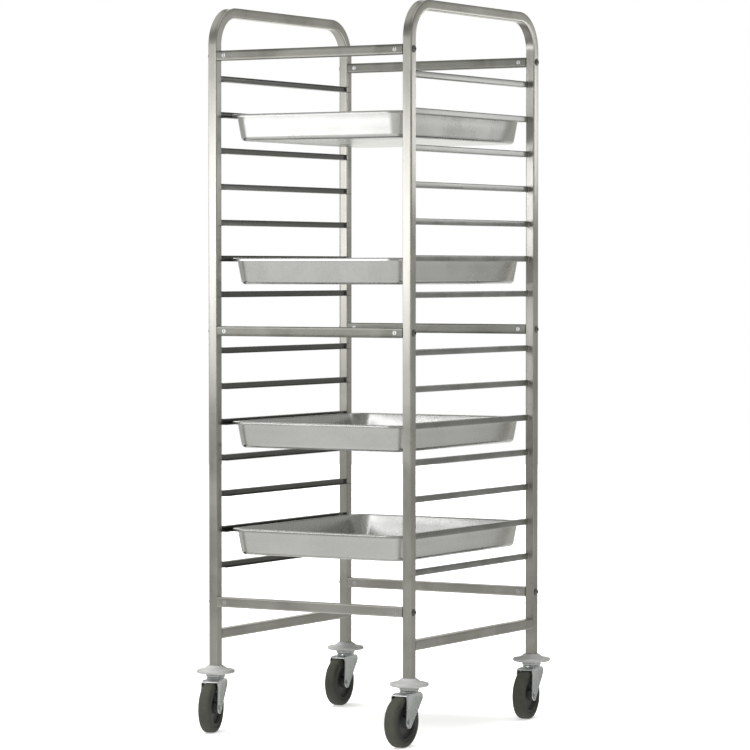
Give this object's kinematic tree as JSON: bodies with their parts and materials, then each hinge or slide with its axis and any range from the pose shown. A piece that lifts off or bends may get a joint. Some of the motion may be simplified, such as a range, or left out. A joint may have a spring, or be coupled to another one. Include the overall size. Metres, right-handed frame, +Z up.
{
  "type": "pan rack trolley",
  "caption": "Rolling steel rack that carries deep catering pans on paired runners, with four swivel castors and round corner bumpers.",
  "frame": {"origin": "middle of the whole footprint, on the floor; the castors trail forwards at rest, so the middle of the frame is 26 mm behind it", "axes": "+Z up; +X to the right seen from the front; -Y is the front, where the pans slide out"},
  "size_m": [0.659, 0.789, 1.822],
  "materials": {
    "steel_tube": "satin stainless tube, fine brushing along the tube",
    "runner_steel": "satin stainless sheet",
    "pan_steel": "satin stainless, pressed, with soft uneven reflections",
    "zinc": "bright zinc plated pressed steel",
    "grey_plastic": "mid grey moulded plastic",
    "tyre_rubber": "dark olive grey rubber",
    "core_plastic": "black moulded plastic"
  },
  "bodies": {
    "rack": {"left_frame_tube": "steel_tube", "left_bottom_rail": "steel_tube", "right_frame_tube": "steel_tube", "right_bottom_rail": "steel_tube", "runner_left_01": "runner_steel", "runner_left_02": "runner_steel", "runner_left_03": "runner_steel", "runner_left_04": "runner_steel", "runner_left_05": "runner_steel", "runner_left_06": "runner_steel", "runner_left_07": "runner_steel", "runner_left_08": "runner_steel", "runner_left_09": "runner_steel", "runner_left_10": "runner_steel", "runner_left_11": "runner_steel", "runner_left_12": "runner_steel", "runner_left_13": "runner_steel", "runner_left_14": "runner_steel", "runner_right_01": "runner_steel", "runner_right_02": "runner_steel", "runner_right_03": "runner_steel", "runner_right_04": "runner_steel", "runner_right_05": "runner_steel", "runner_right_06": "runner_steel", "runner_right_07": "runner_steel", "runner_right_08": "runner_steel", "runner_right_09": "runner_steel", "runner_right_10": "runner_steel", "runner_right_11": "runner_steel", "runner_right_12": "runner_steel", "runner_right_13": "runner_steel", "runner_right_14": "runner_steel", "front_bottom_bar": "steel_tube", "front_middle_bar": "steel_tube", "front_top_bar": "steel_tube", "rear_bottom_bar": "steel_tube", "rear_middle_bar": "steel_tube", "rear_top_bar": "steel_tube", "bumper_front_right": "grey_plastic", "bumper_front_left": "grey_plastic", "bumper_rear_right": "grey_plastic", "bumper_rear_left": "grey_plastic"},
    "pan_02": {"pan_level_02": "pan_steel"},
    "pan_06": {"pan_level_06": "pan_steel"},
    "pan_10": {"pan_level_10": "pan_steel"},
    "pan_13": {"pan_level_13": "pan_steel"},
    "fork_front_right": {"fork_front_right": "zinc"},
    "wheel_front_right": {"wheel_core_front_right": "core_plastic", "tyre_front_right": "tyre_rubber"},
    "fork_front_left": {"fork_front_left": "zinc"},
    "wheel_front_left": {"wheel_core_front_left": "core_plastic", "tyre_front_left": "tyre_rubber"},
    "fork_rear_right": {"fork_rear_right": "zinc"},
    "wheel_rear_right": {"wheel_core_rear_right": "core_plastic", "tyre_rear_right": "tyre_rubber"},
    "fork_rear_left": {"fork_rear_left": "zinc"},
    "wheel_rear_left": {"wheel_core_rear_left": "core_plastic", "tyre_rear_left": "tyre_rubber"}
  },
  "joints": [
    {"name": "swivel_front_right", "type": "hinge", "parent": "rack", "child": "fork_front_right", "pos_m": [0.281, -0.294, 0.1375], "axis": [0, 0, 1], "continuous": true},
    {"name": "roll_front_right", "type": "hinge", "parent": "fork_front_right", "child": "wheel_front_right", "pos_m": [0.281, -0.332, 0.0625], "axis": [1, 0, 0], "continuous": true},
    {"name": "swivel_front_left", "type": "hinge", "parent": "rack", "child": "fork_front_left", "pos_m": [-0.281, -0.294, 0.1375], "axis": [0, 0, 1], "continuous": true},
    {"name": "roll_front_left", "type": "hinge", "parent": "fork_front_left", "child": "wheel_front_left", "pos_m": [-0.27116, -0.33071, 0.0625], "axis": [0.9659, 0.2588, 0], "continuous": true},
    {"name": "swivel_rear_right", "type": "hinge", "parent": "rack", "child": "fork_rear_right", "pos_m": [0.281, 0.346, 0.1375], "axis": [0, 0, 1], "continuous": true},
    {"name": "roll_rear_right", "type": "hinge", "parent": "fork_rear_right", "child": "wheel_rear_right", "pos_m": [0.2853, 0.30824, 0.0625], "axis": [0.9936, 0.1132, 0], "continuous": true},
    {"name": "swivel_rear_left", "type": "hinge", "parent": "rack", "child": "fork_rear_left", "pos_m": [-0.281, 0.346, 0.1375], "axis": [0, 0, 1], "continuous": true},
    {"name": "roll_rear_left", "type": "hinge", "parent": "fork_rear_left", "child": "wheel_rear_left", "pos_m": [-0.27769, 0.30815, 0.0625], "axis": [0.9962, 0.0872, 0], "continuous": true},
    {"name": "pan_slide_02", "type": "slide", "parent": "rack", "child": "pan_02", "axis": [0, -1, 0], "range_m": [0, 0.68]},
    {"name": "pan_slide_06", "type": "slide", "parent": "rack", "child": "pan_06", "axis": [0, -1, 0], "range_m": [0, 0.68]},
    {"name": "pan_slide_10", "type": "slide", "parent": "rack", "child": "pan_10", "axis": [0, -1, 0], "range_m": [0, 0.68]},
    {"name": "pan_slide_13", "type": "slide", "parent": "rack", "child": "pan_13", "axis": [0, -1, 0], "range_m": [0, 0.68]}
  ]
}
